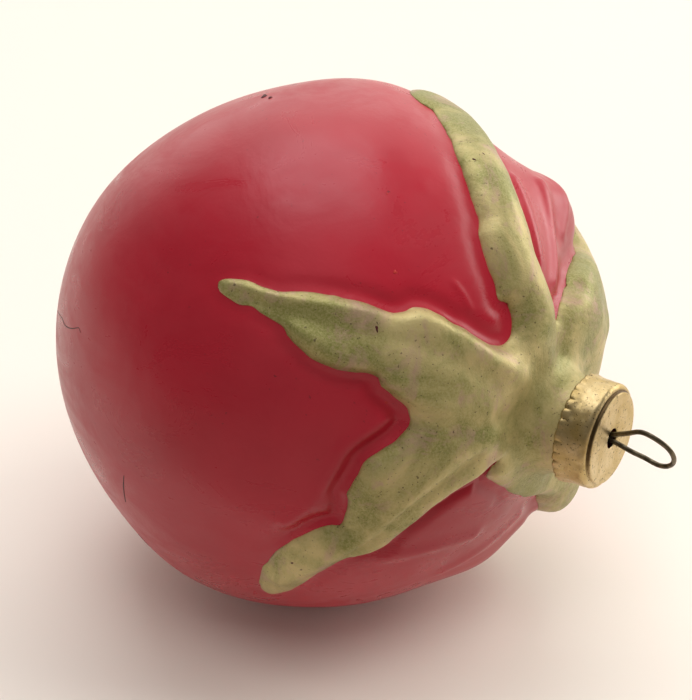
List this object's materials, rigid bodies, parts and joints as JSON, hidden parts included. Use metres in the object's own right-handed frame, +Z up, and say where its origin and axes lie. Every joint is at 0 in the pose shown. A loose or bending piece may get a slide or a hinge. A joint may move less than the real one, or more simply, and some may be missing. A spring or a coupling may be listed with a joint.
{
  "type": "christmas tree ornament",
  "caption": "Hollow blown-glass tomato ornament with a raised painted calyx, a crimped metal cap that pulls off and a swivelling wire hanging loop.",
  "frame": {"origin": "middle of the ground rectangle under the whole object, which lies on its side", "axes": "+X along the ornament's axis towards the cap and the hanging loop, +Z up from the surface it lies on"},
  "size_m": [0.0858, 0.068, 0.068],
  "materials": {
    "red_lacquer": "glossy red lacquer over blown glass, opaque",
    "calyx_paint": "satin olive-gold metallic paint",
    "cap_metal": "worn gold-lacquered sheet metal, satin",
    "spring_wire": "dark tarnished spring wire"
  },
  "bodies": {
    "ornament": {"glass_body": "red_lacquer", "calyx_coat": "calyx_paint"},
    "cap": {"cap": "cap_metal"},
    "hanger": {"hanger_wire": "spring_wire"}
  },
  "joints": [
    {"name": "cap_pull", "type": "slide", "parent": "ornament", "child": "cap", "axis": [1, 0, 0], "range_m": [0, 0.016]},
    {"name": "hanger_swivel", "type": "hinge", "parent": "cap", "child": "hanger", "pos_m": [0.03361, 0, 0.03401], "axis": [1, 0, 0], "continuous": true}
  ]
}
